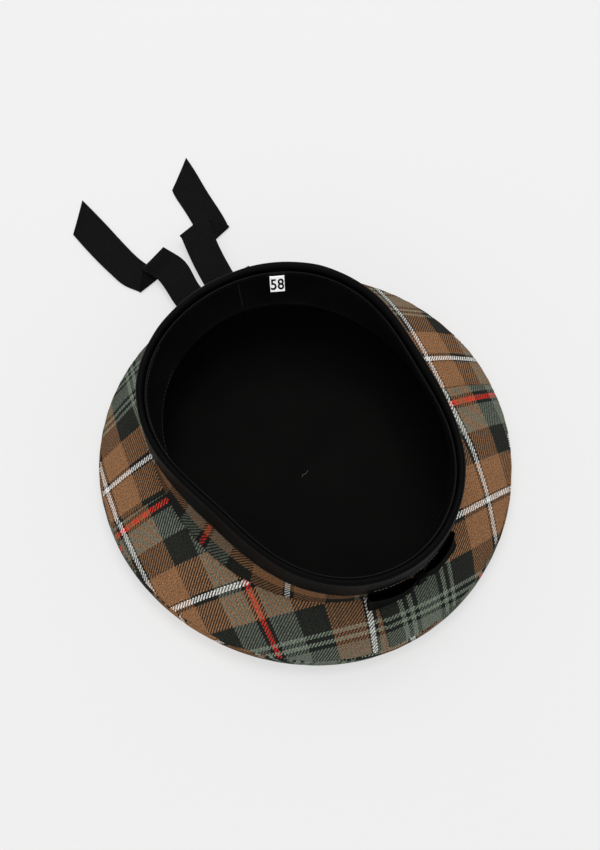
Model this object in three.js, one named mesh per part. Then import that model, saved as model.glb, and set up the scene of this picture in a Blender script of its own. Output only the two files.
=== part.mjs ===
// A balmoral bonnet lying upside down on its crown, with its ribbon tails on the surface behind it.
// Millimetres, +Z up. The origin is on the surface under the middle of the crown,
// the back of the bonnet and its tails point along +Y, and the cockade is at the front, -Y.
//
// The cloth is built as a centre line in a plane through the axis, thickened into a wall.
// The line changes from bearing to bearing, so each layer follows the bonnet's own oval.
import * as THREE from 'three';

// ---------------------------------------------------------------- driving dimensions (mm)
const clothThickness = 1.8;          // tartan with its interlining
const bindingThickness = 1.0;
const sweatbandThickness = 1.2;
const liningThickness = 1.0;
const ribbonThickness = 1.0;
const gap = 0.35;                    // left between neighbouring pieces

const sideSeamHeight = 14;           // round seam between the crown's top and its sides
const creaseHeight = 41;             // seam between the sides and the head band
const rimHeight = 80;                // top of the folded binding
const bindingWidth = 22;             // binding seen on the outside of the band
const bindingTurnIn = 5.5;           // binding seen on the inside
const sweatbandTop = 76.3;
const sweatbandBottom = 46;
const liningTop = 44.8;

const edgeRounding = 18;             // how far in from its edge the crown's top begins to curl
const sideBulge = 2.2;               // how far the sides belly out between their seams
const seamOpening = 0.8;             // distance between the cut edges of two cloth pieces
const creaseOpening = 1.4;           // the same at the crease, where they meet at an angle
const quarterSeams = [342, 72, 162, 252];   // bearings of the four seams in the sides

const columnsRound = 72;             // facets round a whole ring

// ---------------------------------------------------------------- the bonnet's oval rings
// Each ring's radius is a mean and a few waves round it. A wave's crest is a bearing in degrees,
// counted from +X towards +Y.
const crownEdge = {
  mean: 130.1,
  waves: [
    { lobes: 1, size: 0.4, crest: 220 },
    { lobes: 2, size: 1.1, crest: 100 },
    { lobes: 3, size: 0.75, crest: 13 },
    { lobes: 4, size: 0.3, crest: 73 },
  ],
};
const crease = {
  mean: 95.7,
  waves: [
    { lobes: 1, size: 1.5, crest: 215 },
    { lobes: 2, size: 6.8, crest: 86 },
  ],
};
const rim = {
  mean: 91.8,
  waves: [
    { lobes: 1, size: 3.1, crest: 113 },
    { lobes: 2, size: 13.4, crest: 87 },
    { lobes: 3, size: 3.5, crest: 23 },
    { lobes: 4, size: 1.1, crest: 45 },
  ],
};
const sweatbandEdge = {
  mean: 87.6,
  waves: [
    { lobes: 1, size: 0.8, crest: 190 },
    { lobes: 2, size: 6.9, crest: 88 },
  ],
};

const radians = (degrees) => THREE.MathUtils.degToRad(degrees);
const mix = THREE.MathUtils.lerp;

function radiusAt(ring, bearing) {
  const wave = ({ lobes, size, crest }) => size * Math.cos(lobes * (bearing - radians(crest)));
  return ring.waves.reduce((radius, row) => radius + wave(row), ring.mean);
}

// Middle of the band's cloth. It stands up from the crease in a curve and is upright at the rim.
function bandRadius(bearing, height) {
  const toRim = (height - creaseHeight) / (rimHeight - creaseHeight);
  const flare = Math.pow(1 - Math.min(Math.max(toRim, 0), 1), 3);
  return mix(radiusAt(rim, bearing), radiusAt(crease, bearing), flare);
}

// ---------------------------------------------------------------- lines and walls
const point = (radius, height) => new THREE.Vector2(radius, height);

function spaced(from, to, count) {
  return Array.from({ length: count }, (_, i) => mix(from, to, i / (count - 1)));
}

// Pulls the two ends of a line back along it.
function trimmed(line, atStart, atEnd) {
  const pull = (end, next, by) => end.clone().add(next.clone().sub(end).setLength(by));
  const last = line.length - 1;
  const start = atStart > 0 ? pull(line[0], line[1], atStart) : line[0];
  const end = atEnd > 0 ? pull(line[last], line[last - 1], atEnd) : line[last];
  return [start, ...line.slice(1, last), end];
}

// The point that lies off the line at index i. A line that runs from the crown's middle outwards
// and up to the rim has its outer side at a positive distance.
function offLine(line, i, distance) {
  const before = line[Math.max(i - 1, 0)];
  const after = line[Math.min(i + 1, line.length - 1)];
  const along = after.clone().sub(before).normalize();
  return line[i].clone().add(point(along.y, -along.x).multiplyScalar(distance));
}

const onBearing = (bearing, { x: radius, y: height }) =>
  new THREE.Vector3(radius * Math.cos(bearing), radius * Math.sin(bearing), height);

// Turns a geometry's faces outwards if moving its vertices has left them facing in.
function facedOut(geometry) {
  const { array } = geometry.attributes.position;
  const index = geometry.index.array;
  const corner = (i) => new THREE.Vector3().fromArray(array, 3 * i);
  let volume = 0;
  for (let i = 0; i < index.length; i += 3) {
    volume += corner(index[i]).dot(corner(index[i + 1]).cross(corner(index[i + 2])));
  }
  if (volume < 0) {
    for (let i = 0; i < index.length; i += 3) {
      [index[i + 1], index[i + 2]] = [index[i + 2], index[i + 1]];
    }
  }
  geometry.computeVertexNormals();
  return geometry;
}

// A lathe's closed ring of faces, with each vertex moved to place(turn, stop): turn runs from
// 0 to 1 round the ring and stop is one of the stops round its section.
function ringGeometry(stops, columns, place) {
  const geometry = new THREE.LatheGeometry(stops.map(() => point(1, 0)), columns);
  const positions = geometry.attributes.position;
  for (let i = 0; i < positions.count; i += 1) {
    const column = Math.floor(i / stops.length) % columns;
    const target = place(column / columns, stops[i % stops.length]);
    positions.setXYZ(i, target.x, target.y, target.z);
  }
  return facedOut(geometry);
}

// A box's closed skin, with each vertex moved to place(across, along, side): across and along
// run from 0 to 1, and side is -1 or 1 on the two faces of the cloth.
function sheetGeometry(columns, rows, place) {
  const geometry = new THREE.BoxGeometry(1, 1, 2, columns, rows, 1);
  const positions = geometry.attributes.position;
  for (let i = 0; i < positions.count; i += 1) {
    const target = place(positions.getX(i) + 0.5, positions.getY(i) + 0.5, positions.getZ(i));
    positions.setXYZ(i, target.x, target.y, target.z);
  }
  return facedOut(geometry);
}

// Stops round the section of a wall: up its outer side and down its inner side.
function wallStops(count, closed) {
  const outer = spaced(0, count - 1, count).map((i) => ({ i, side: 1 }));
  const inner = outer.map(({ i }) => ({ i, side: -1 })).reverse();
  return closed ? [...outer, ...inner, outer[0]] : [...outer, ...inner];
}

// A wall that goes all the way round. lineAt gives the centre line at a bearing, and a line that
// starts on the axis makes a bowl.
function roundWall(lineAt, thickness, columns = columnsRound) {
  const lines = spaced(0, 2 * Math.PI, columns + 1).map(lineAt);
  const bowl = lines[0][0].x === 0;
  return ringGeometry(wallStops(lines[0].length, !bowl), columns, (turn, { i, side }) => {
    const line = lines[Math.round(turn * columns)];
    const target = offLine(line, i, side * thickness / 2);
    if (bowl && i === 0) target.x = 0;
    return onBearing(turn * 2 * Math.PI, target);
  });
}

// A wall between two bearings, given in degrees, that stops short of each by an arc length.
function partWall(lineAt, thickness, from, to, columns, shortBy) {
  const rows = lineAt(0).length - 1;
  return sheetGeometry(columns, rows, (across, along, side) => {
    const line = lineAt(mix(radians(from), radians(to), across));
    const i = Math.round(along * rows);
    const inset = shortBy / line[i].x;
    const bearing = mix(radians(from) + inset, radians(to) - inset, across);
    return onBearing(bearing, offLine(lineAt(bearing), i, side * thickness / 2));
  });
}

// ---------------------------------------------------------------- centre lines of the cloth
function crownTopLine(bearing) {
  const edge = radiusAt(crownEdge, bearing) - clothThickness / 2;
  const floor = clothThickness / 2;
  const curl = new THREE.CubicBezierCurve(
    point(edge - edgeRounding, floor),
    point(edge - 0.35 * edgeRounding, floor),
    point(edge, 0.12 * edgeRounding + floor),
    point(edge, 0.62 * sideSeamHeight),
  ).getPoints(4);
  const seam = point(edge - 1, sideSeamHeight);
  return trimmed([point(0, floor), ...curl, seam], 0, seamOpening / 2);
}

function sideLine(bearing) {
  const start = point(radiusAt(crownEdge, bearing) - clothThickness / 2 - 1, sideSeamHeight);
  const end = point(radiusAt(crease, bearing), creaseHeight);
  const along = end.clone().sub(start).normalize();
  const belly = start.clone().lerp(end, 0.5).addScaledVector(point(along.y, -along.x), 2 * sideBulge);
  const line = new THREE.QuadraticBezierCurve(start, belly, end).getPoints(5);
  return trimmed(line, seamOpening / 2, creaseOpening / 2);
}

// The binding's fold passes over the band's cut edge with the usual gap.
const foldRadius = clothThickness / 2 + gap + bindingThickness / 2;
const foldHeight = rimHeight - foldRadius - bindingThickness / 2;

function bandLine(bearing) {
  const shares = [0, 0.08, 0.2, 0.35, 0.52, 0.72];
  const heights = shares.map((share) => mix(creaseHeight, rimHeight, share));
  const line = [...heights, foldHeight].map((height) =>
    point(bandRadius(bearing, height), height));
  return trimmed(line, creaseOpening / 2, 0);
}

function bindingLine(bearing) {
  const beside = (height, side) => point(bandRadius(bearing, height) + side * foldRadius, height);
  const outside = spaced(rimHeight - bindingWidth, foldHeight, 4).map((height) => beside(height, 1));
  const over = spaced(0, Math.PI, 5).slice(1, -1).map((angle) => point(
    radiusAt(rim, bearing) + foldRadius * Math.cos(angle),
    foldHeight + foldRadius * Math.sin(angle),
  ));
  const inside = [foldHeight, rimHeight - bindingTurnIn].map((height) => beside(height, -1));
  return [...outside, ...over, ...inside];
}

// The sweatband hangs from its stitched top edge and stands away from the band further down.
const sweatbandInset = clothThickness / 2 + bindingThickness + 2 * gap + sweatbandThickness / 2;

function sweatbandLine(bearing) {
  return spaced(sweatbandBottom, sweatbandTop, 4).map((height) => {
    const down = (sweatbandTop - height) / (sweatbandTop - sweatbandBottom);
    const top = radiusAt(rim, bearing) - sweatbandInset;
    return point(mix(top, radiusAt(sweatbandEdge, bearing), down * down), height);
  });
}

// The lining lies on the crown's top, follows its sides and ends behind the sweatband.
const liningInset = (clothThickness + liningThickness) / 2 + gap;

function liningLine(bearing) {
  const edge = radiusAt(crownEdge, bearing) - clothThickness / 2;
  const floor = clothThickness + gap + liningThickness / 2;
  const corner = new THREE.QuadraticBezierCurve(
    point(edge - edgeRounding, floor),
    point(edge - 5, floor + 1),
    point(edge - 5, sideSeamHeight + 1),
  ).getPoints(4);
  const side = sideLine(bearing);
  const behindSide = [1, 3].map((i) => offLine(side, i, -liningInset - gap));
  const behindCrease = point(radiusAt(crease, bearing) - 2.6, creaseHeight - 2);
  const behindBand = [creaseHeight + 1, liningTop].map((height) =>
    point(bandRadius(bearing, height) - 1.35 * liningInset, height));
  return [point(0, floor), ...corner, ...behindSide, behindCrease, ...behindBand];
}

// ---------------------------------------------------------------- size label
// A small woven tab, sewn to the sweatband by its top edge so that its foot stands away.
const label = { bearing: 61, width: 9, height: 11.5, thickness: 1.0, top: 74.5, lean: 24 };

function labelGeometry() {
  const bearing = radians(label.bearing);
  const step = radians(2);
  const rimSlope = (radiusAt(rim, bearing + step) - radiusAt(rim, bearing - step))
    / (2 * step * radiusAt(rim, bearing));
  const hangFrom = radiusAt(rim, bearing) - sweatbandInset - sweatbandThickness / 2
    - 2 * gap - label.thickness / 2;
  return new THREE.BoxGeometry(label.thickness, label.width, label.height)
    .translate(0, 0, -label.height / 2)
    .rotateY(radians(label.lean))
    .rotateZ(-Math.atan(rimSlope))
    .translate(hangFrom, 0, label.top)
    .rotateZ(bearing);
}

// ---------------------------------------------------------------- cockade
// A flat bow of one ribbon loop, pinched in the middle by a knot. It stands on the sides of the
// crown at the front, under the binding's edge. Each row is a bearing along the bow: how far the
// inner ribbon stands off the band, how deep the loop is at its top edge, and how far the ribbon
// is pinched in from its top edge and its foot. The loop's folded ends lie past the first and
// last rows.
const bow = { from: 248.6, middle: 266.5, to: 283.2, top: 56.6, foot: 40.3, thickness: 1.0 };
const bowRows = [
  { bearing: 249.4, offset: 2.1, depth: 5.0, pinch: 0 },
  { bearing: 256.0, offset: 2.0, depth: 6.0, pinch: 0 },
  { bearing: 261.5, offset: 2.2, depth: 5.2, pinch: 0.6 },
  { bearing: 264.5, offset: 3.6, depth: 1.9, pinch: 4.0 },
  { bearing: 268.5, offset: 3.6, depth: 1.9, pinch: 4.0 },
  { bearing: 272.0, offset: 2.2, depth: 4.8, pinch: 0.6 },
  { bearing: 278.5, offset: 2.0, depth: 4.6, pinch: 0 },
  { bearing: 282.3, offset: 2.1, depth: 3.0, pinch: 0.4 },
];
const footSpread = 2.2;              // how much further out the inner ribbon's foot is
const footDepth = 1.7;               // depth of the loop at its foot, where it lies flat
const sideFall = 0.58;               // how steeply the sides fall away outside the crease

function bowRow(bearing) {
  const last = bowRows.length - 1;
  const at = bowRows.findIndex((row, i) => i > 0 && (bearing <= row.bearing || i === last));
  const [before, after] = [bowRows[at - 1], bowRows[at]];
  const along = (bearing - before.bearing) / (after.bearing - before.bearing);
  const share = THREE.MathUtils.clamp(along, 0, 1);
  const between = (key) => mix(before[key], after[key], share);
  return { offset: between('offset'), depth: between('depth'), pinch: between('pinch') };
}

// A point of the bow's ribbon: outward is 0 on the inner ribbon and 1 on the outer one, and
// down runs from 0 at the top edge to 1 at the foot.
function bowPoint(bearingDegrees, outward, down) {
  const bearing = radians(bearingDegrees);
  const { offset, depth, pinch } = bowRow(bearingDegrees);
  const foot = bow.foot + pinch - sideFall * outward * footDepth;
  const height = mix(bow.top - pinch, foot, down);
  const top = bandRadius(bearing, Math.max(height, creaseHeight)) + offset;
  const bottom = radiusAt(crease, bearing) + offset + footSpread;
  return point(mix(top, bottom, down * down) + outward * mix(depth, footDepth, down), height);
}

function bowGeometry() {
  const bearings = bowRows.flatMap(({ bearing }, i) => (
    i === 0 ? [bearing] : [(bowRows[i - 1].bearing + bearing) / 2, bearing]));
  const there = bearings.map((bearing) => ({ bearing, outward: 1 }));
  const back = [...bearings].reverse().map((bearing) => ({ bearing, outward: 0 }));
  const fold = (bearing) => ({ bearing, outward: 0.5 });
  const stations = [...there, fold(bow.to), ...back, fold(bow.from)];
  const stops = [[0, 1], [0.5, 1], [1, 1], [1, -1], [0.5, -1], [0, -1], [0, 1]];
  const centre = (station, down) => {
    const { bearing, outward } = stations[(station + stations.length) % stations.length];
    return onBearing(radians(bearing), bowPoint(bearing, outward, down));
  };
  return ringGeometry(stops, stations.length, (turn, [down, side]) => {
    const station = Math.round(turn * stations.length);
    const along = centre(station + 1, down).sub(centre(station - 1, down));
    const up = centre(station, 0).sub(centre(station, 1));
    const outOfRibbon = along.cross(up).normalize();
    return centre(station, down).addScaledVector(outOfRibbon, side * bow.thickness / 2);
  });
}

// The knot is a short strap round the bow's middle, in the plane through the axis. Each row is a
// point of the bow that it passes, and the direction in which it stands off that point.
const knot = { width: 6, thickness: 1.0 };
const knotLoop = [
  { outward: 0, down: 0, away: [-1, 1] },
  { outward: 1, down: 0, away: [1, 1] },
  { outward: 1, down: 0.5, away: [1, 0] },
  { outward: 1, down: 1, away: [1, -1] },
  { outward: 0, down: 1, away: [-1, -1] },
  { outward: 0, down: 0.5, away: [-1, 0] },
];

function knotGeometry() {
  const clear = (bow.thickness + knot.thickness) / 2 + gap;
  const stops = [[-1, 1], [1, 1], [1, -1], [-1, -1], [-1, 1]];
  const strap = ringGeometry(stops, knotLoop.length, (turn, [across, side]) => {
    const { outward, down, away } = knotLoop[Math.round(turn * knotLoop.length)];
    const { x, y } = bowPoint(bow.middle, outward, down)
      .addScaledVector(point(...away), clear + side * knot.thickness / 2);
    return new THREE.Vector3(x, across * knot.width / 2, y);
  });
  return strap.rotateZ(radians(bow.middle));
}

// ---------------------------------------------------------------- ribbon tails
// Each row is a line across the ribbon: its middle, its direction in plan from the ribbon's left
// edge to its right one, its length, and 'under' where the ribbon is folded back beneath itself.
const foldOpening = ribbonThickness / 2 + gap;      // radius of a fold at the ribbon's middle
const tails = {
  tail_right: [
    { x: 28.6, y: 102.6, z: 73, across: -12, span: 20 },
    { x: 29.0, y: 104.4, z: 62, across: -12, span: 20 },
    { x: 30.4, y: 110.5, z: 48, across: -12, span: 20 },
    { x: 33.0, y: 119.2, z: 33, across: -11, span: 20.4 },
    { x: 35.4, y: 127.6, z: 19.5, across: -11, span: 20.8 },
    { x: 37.0, y: 133.2, z: 10.5, across: -10, span: 21 },
    { x: 39.6, y: 142.5, z: 5.6, across: -9, span: 21 },
    { x: 44.0, y: 160.0, z: 5.2, across: -4, span: 21.4 },
    { x: 50.2, y: 180.4, z: 8.0, across: 4, span: 23, fold: 'under' },
    { x: 59.3, y: 167.4, z: 1.5, across: 7, span: 23, fold: 'under' },
    { x: 63.2, y: 182.0, z: 0.7, across: -8, span: 21 },
    { x: 67.0, y: 203.0, z: 0.7, across: 6, span: 21.6 },
    { x: 71.1, y: 224.7, z: 0.7, across: 32, span: 28 },
  ],
  tail_left: [
    { x: 8.4, y: 106.6, z: 73, across: -5, span: 20 },
    { x: 8.6, y: 107.4, z: 62, across: -5, span: 20 },
    { x: 9.6, y: 112.5, z: 48, across: -5, span: 20 },
    { x: 11.2, y: 120.4, z: 33, across: -3, span: 20.4 },
    { x: 12.6, y: 128.6, z: 19.5, across: -1, span: 20.8 },
    { x: 13.6, y: 134.6, z: 10.5, across: 1, span: 21 },
    { x: 15.0, y: 144.0, z: 5.6, across: 4, span: 21 },
    { x: 18.2, y: 164.0, z: 5.0, across: 0, span: 22 },
    { x: 13.2, y: 177.4, z: 8.0, across: 11, span: 22, fold: 'under' },
    { x: 3.8, y: 168.0, z: 1.5, across: 3, span: 22, fold: 'under' },
    { x: -1.5, y: 179.0, z: 0.7, across: 2, span: 21.6 },
    { x: -3.9, y: 196.0, z: 1.4, across: 14, span: 21.6 },
    { x: -5.0, y: 242.0, z: 0.7, across: 41, span: 27.6 },
  ],
};

// Rows as stations along the ribbon. A fold becomes half a turn about its line.
function ribbonStations(rows) {
  return rows.flatMap(({ x, y, z, across, span, fold }, i) => {
    const edge = new THREE.Vector3(Math.cos(radians(across)), Math.sin(radians(across)), 0);
    const centre = new THREE.Vector3(x, y, z);
    if (!fold) return [{ centre, edge, span }];
    const ahead = new THREE.Vector3(-edge.y, edge.x, 0);
    const coming = centre.clone().sub(new THREE.Vector3(rows[i - 1].x, rows[i - 1].y, z));
    ahead.multiplyScalar(Math.sign(ahead.dot(coming)));
    return spaced(0, Math.PI, 5).map((angle) => ({
      centre: centre.clone()
        .addScaledVector(ahead, foldOpening * Math.sin(angle))
        .add(new THREE.Vector3(0, 0, foldOpening * Math.cos(angle))),
      edge,
      span,
    }));
  });
}

function ribbonGeometry(rows) {
  const stations = ribbonStations(rows);
  const last = stations.length - 1;
  return sheetGeometry(1, last, (across, along, side) => {
    const i = Math.round(along * last);
    const { centre, edge, span } = stations[i];
    const before = stations[Math.max(i - 1, 0)].centre;
    const after = stations[Math.min(i + 1, last)].centre;
    const outOfRibbon = edge.clone().cross(after.clone().sub(before)).normalize();
    return centre.clone()
      .addScaledVector(edge, (across - 0.5) * span)
      .addScaledVector(outOfRibbon, side * ribbonThickness / 2);
  });
}

// ---------------------------------------------------------------- materials and assembly
const finishes = {
  tartan: { color: 0x5a4c3e, roughness: 0.95 },
  binding: { color: 0x141414, roughness: 0.8 },
  ribbon: { color: 0x161616, roughness: 0.75 },
  sweatband: { color: 0x101010, roughness: 0.6 },
  lining: { color: 0x0c0c0c, roughness: 0.5 },
  label: { color: 0xf2f2f0, roughness: 0.9 },
};

const bonnet = new THREE.Group();

function addPiece(name, geometry, finish) {
  const material = new THREE.MeshStandardMaterial({ ...finishes[finish], metalness: 0 });
  const mesh = new THREE.Mesh(geometry, material);
  mesh.name = name;
  bonnet.add(mesh);
}

addPiece('crown_top', roundWall(crownTopLine, clothThickness), 'tartan');

const sideNames = ['side_back_right', 'side_back_left', 'side_front_left', 'side_front_right'];
sideNames.forEach((name, i) => {
  const from = quarterSeams[i];
  const to = quarterSeams[(i + 1) % quarterSeams.length];
  const upTo = to < from ? to + 360 : to;
  const columns = columnsRound / quarterSeams.length;
  const panel = partWall(sideLine, clothThickness, from, upTo, columns, seamOpening / 2);
  addPiece(name, panel, 'tartan');
});

addPiece('band', roundWall(bandLine, clothThickness), 'tartan');
addPiece('rim_binding', roundWall(bindingLine, bindingThickness), 'binding');
addPiece('sweatband', roundWall(sweatbandLine, sweatbandThickness), 'sweatband');
addPiece('lining', roundWall(liningLine, liningThickness, columnsRound / 2), 'lining');
addPiece('size_label', labelGeometry(), 'label');
addPiece('cockade', bowGeometry(), 'ribbon');
addPiece('cockade_knot', knotGeometry(), 'ribbon');
Object.entries(tails).forEach(([name, rows]) => addPiece(name, ribbonGeometry(rows), 'ribbon'));

export default bonnet;
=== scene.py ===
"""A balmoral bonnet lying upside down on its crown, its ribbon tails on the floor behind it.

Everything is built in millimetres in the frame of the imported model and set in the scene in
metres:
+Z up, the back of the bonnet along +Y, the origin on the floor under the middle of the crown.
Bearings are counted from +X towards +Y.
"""
import math

import bpy
import numpy as np
from mathutils import Matrix, Vector


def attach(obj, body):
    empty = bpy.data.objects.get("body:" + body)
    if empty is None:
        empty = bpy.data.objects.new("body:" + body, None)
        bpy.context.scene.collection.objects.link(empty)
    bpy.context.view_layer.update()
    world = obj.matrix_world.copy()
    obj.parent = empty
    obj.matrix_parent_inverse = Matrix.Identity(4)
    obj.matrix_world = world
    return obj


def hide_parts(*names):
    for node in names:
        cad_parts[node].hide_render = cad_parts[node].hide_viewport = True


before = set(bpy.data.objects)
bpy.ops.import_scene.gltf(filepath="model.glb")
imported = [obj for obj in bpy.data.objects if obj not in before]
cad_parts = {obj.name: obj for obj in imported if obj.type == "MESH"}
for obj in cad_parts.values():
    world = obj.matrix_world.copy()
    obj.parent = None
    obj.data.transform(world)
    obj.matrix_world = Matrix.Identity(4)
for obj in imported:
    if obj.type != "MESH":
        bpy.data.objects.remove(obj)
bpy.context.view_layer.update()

MM = 0.001
TAU = 2 * math.pi

# ---------------- sizes, as in the solids (mm)
CLOTH = 1.8
BINDING = 1.0
SWEATBAND = 1.2
LINING = 1.0
GAP = 0.35
SEAM_Z = 14.0               # round seam between the crown's top and its sides
CREASE_Z = 41.0             # seam between the sides and the head band
RIM_Z = 80.0                # top of the folded binding
BINDING_WIDTH = 22.0
BINDING_TURN_IN = 5.5
SWEATBAND_TOP = 76.3
SWEATBAND_FOOT = 46.0
LINING_TOP = 44.8
EDGE_ROUNDING = 18.0
SIDE_BULGE = 2.2

ROUND = 320                 # columns in a piece that goes all the way round


def ring(mean, *waves):
    """A ring's radius: a mean, and waves round it with their lobes, size and a crest's bearing."""
    def radius(bearing):
        total = mean + 0 * bearing
        for lobes, size, crest in waves:
            total = total + size * np.cos(lobes * (bearing - math.radians(crest)))
        return total
    return radius


crown_edge = ring(130.1, (1, 0.4, 220), (2, 1.1, 100), (3, 0.75, 13), (4, 0.3, 73))
crease = ring(95.7, (1, 1.5, 215), (2, 6.8, 86))
rim = ring(91.8, (1, 3.1, 113), (2, 13.4, 87), (3, 3.5, 23), (4, 1.1, 45))
sweatband_edge = ring(87.6, (1, 0.8, 190), (2, 6.9, 88))


def mix(a, b, share):
    return a + (b - a) * share


def unit(vectors, least=0.0):
    return vectors / (np.linalg.norm(vectors, axis=-1, keepdims=True) + least)


def summed(steps):
    """The sum so far, at both ends of each step."""
    return np.concatenate([[0], np.cumsum(steps)])


def run_along(points):
    """Length along a line of points, from its start."""
    return summed(np.linalg.norm(np.diff(points, axis=0), axis=-1))


def sampled(at, run, rows):
    """Rows of numbers at places along their run."""
    return np.stack([np.interp(at, run, column) for column in rows.T], -1)


def two_spacings(start, change, end, before, after):
    """Places from start to end, with another spacing from change on."""
    return np.concatenate([np.linspace(start, change, before)[:-1],
                           np.linspace(change, end, after)])


def band_radius(bearing, height):
    flare = (1 - np.clip((height - CREASE_Z) / (RIM_Z - CREASE_Z), 0, 1)) ** 3
    return mix(rim(bearing), crease(bearing), flare)


# ---------------- lines and surfaces
def bezier(points, count):
    """Bezier curves of count points, one for each column: points are (columns, 2) arrays."""
    share = np.linspace(0, 1, count)[None, :, None]
    level = [np.repeat(p[:, None, :], count, 1) for p in points]
    while len(level) > 1:
        level = [mix(a, b, share) for a, b in zip(level, level[1:])]
    return level[0]


def pair(radius, height):
    """(columns, 2) from a radius and a height, either of which may be one number."""
    radius, height = np.broadcast_arrays(np.asarray(radius, float), np.asarray(height, float))
    return np.stack([radius, height], -1)


def arcs(line):
    """Length along each column's line, from its start."""
    steps = np.linalg.norm(np.diff(line, axis=1), axis=-1)
    return np.concatenate([np.zeros((len(line), 1)), np.cumsum(steps, 1)], 1)


def respaced(line, places):
    """Each column's line with its points at these shares of its length."""
    return np.stack([sampled(places * run[-1], run, points)
                     for points, run in zip(line, arcs(line))])


def off(line):
    """Unit directions off each line: outwards for a line that runs outwards and up."""
    along = unit(np.gradient(line, axis=1), 1e-9)
    return np.stack([along[..., 1], -along[..., 0]], -1)


def on_bearings(bearing, line):
    """Points in space from a (radius, height) line at each bearing."""
    angle = bearing[:, None]
    radius, height = line[..., 0], line[..., 1]
    return np.stack([radius * np.cos(angle), radius * np.sin(angle), height], -1)


def two_faces(bearing, line, outwards, inwards):
    """Points on both faces of a wall: so far off its line, along the line's own normals."""
    normal = off(line)
    return [on_bearings(bearing, line + normal * np.asarray(away)[..., None])
            for away in (outwards, inwards)]


def ridge(way, middle, width):
    """1 along a line at middle, and falling to 0 beside it."""
    return np.exp(-((way - middle) / width) ** 2)


def wobble(seed, *waves):
    """A smooth function of position, made of sines with seeded phases: (wavelength, size) rows."""
    rng = np.random.default_rng(seed)
    rows = []
    for length, size in waves:
        for _ in range(3):
            turn, phase = rng.uniform(0, TAU, 2)
            rows.append((TAU / length * rng.uniform(0.75, 1.3), turn, phase, size / 3))

    def value(x, y):
        total = 0 * x
        for rate, turn, phase, size in rows:
            total = total + size * np.sin(rate * (x * math.cos(turn) + y * math.sin(turn)) + phase)
        return total
    return value


# ---------------- meshes
def add_object(name, data):
    made = bpy.data.objects.new(name, data)
    bpy.context.scene.collection.objects.link(made)
    return made


def vertices_of(mesh):
    at = np.empty(len(mesh.vertices) * 3)
    mesh.vertices.foreach_get("co", at)
    return at.reshape(-1, 3)


def new_piece(name, points, faces, uv, material, smooth=True):
    """A mesh from points in millimetres; uv holds one pair for each face corner."""
    mesh = bpy.data.meshes.new(name)
    mesh.from_pydata((np.asarray(points) * MM).tolist(), [], faces)
    if uv is not None:
        layer = mesh.uv_layers.new(name="cloth")
        layer.data.foreach_set("uv", np.asarray(uv, dtype=np.float32).ravel())
    mesh.polygons.foreach_set("use_smooth", [smooth] * len(mesh.polygons))
    mesh.materials.append(material)
    mesh.validate()
    mesh.update()
    return add_object(name, mesh)


EDGE_STOPS = 3              # points round a cut edge, between its two faces


def cloth_wall(name, faces_at, uv, material, pole=False):
    """A sheet of cloth with thickness. faces_at holds the (columns, rows, 3) points on its two
    faces, and uv holds u and v there. Where they have one more column, the sheet is closed round.
    Its cut edges are rounded, and a pole joins the first row in one point."""
    outer, inner = faces_at
    columns, rows = outer.shape[:2]
    uv = np.stack(np.broadcast_arrays(*uv), -1)
    closed = len(uv) > columns

    def cap(at, towards):
        middle = (outer[:, at] + inner[:, at]) / 2
        half = outer[:, at] - middle
        beyond = (outer[:, at] + inner[:, at] - outer[:, towards] - inner[:, towards]) / 2
        beyond = unit(beyond, 1e-9) * np.linalg.norm(half, axis=-1, keepdims=True)
        angles = [math.pi * (k + 1) / (EDGE_STOPS + 1) for k in range(EDGE_STOPS)]
        return [middle + half * math.cos(a) + beyond * math.sin(a) for a in angles]

    there = list(range(rows))
    back = there[::-1]
    loop = [outer[:, i] for i in there] + cap(rows - 1, rows - 2) + [inner[:, i] for i in back]
    loop_uv = [uv[:, i] for i in there + [rows - 1] * EDGE_STOPS + back]
    if not pole:
        loop += cap(0, 1)[::-1]
        loop_uv += [uv[:, 0]] * EDGE_STOPS
    points = np.stack(loop, 1)                      # (columns, stops, 3)
    uvs = np.stack(loop_uv, 1)
    stops = points.shape[1]
    faces, corners = [], []
    last_stop = stops - 1 if pole else stops
    for c in range(len(uv) - 1):
        d = (c + 1) % columns
        for s in range(last_stop):
            t = (s + 1) % stops
            faces.append((c * stops + s, d * stops + s, d * stops + t, c * stops + t))
            corners += [uvs[c, s], uvs[c + 1, s], uvs[c + 1, t], uvs[c, t]]
    flat_points = points.reshape(-1, 3)
    if pole:
        for stop, flip in ((0, False), (stops - 1, True)):
            centre = len(flat_points)
            flat_points = np.vstack([flat_points, points[:, stop].mean(0)])
            centre_uv = uvs[:-1, stop].mean(0)
            for c in range(columns):
                a, b = c, (c + 1) % columns
                trio = [(a * stops + stop, uvs[c, stop]), (centre, centre_uv),
                        (b * stops + stop, uvs[c + 1, stop])]
                if flip:
                    trio.reverse()
                faces.append(tuple(index for index, _ in trio))
                corners += [at for _, at in trio]
    if not closed:
        for c, flip in ((0, False), (columns - 1, True)):
            behind = 2 * rows + EDGE_STOPS - 1      # the stops s and behind - s face each other
            strips = [(s, s + 1, behind - s - 1, behind - s) for s in range(rows - 1)]
            ends = [range(rows - 1, rows + EDGE_STOPS + 1),
                    [*range(stops - EDGE_STOPS - 1, stops), 0]]
            for face in strips + ends:
                face = face[::-1] if flip else face
                faces.append(tuple(c * stops + s for s in face))
                corners += [uvs[c, s] for s in face]
    piece = new_piece(name, flat_points, faces, corners, material)
    face_out(piece)
    return piece


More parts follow.
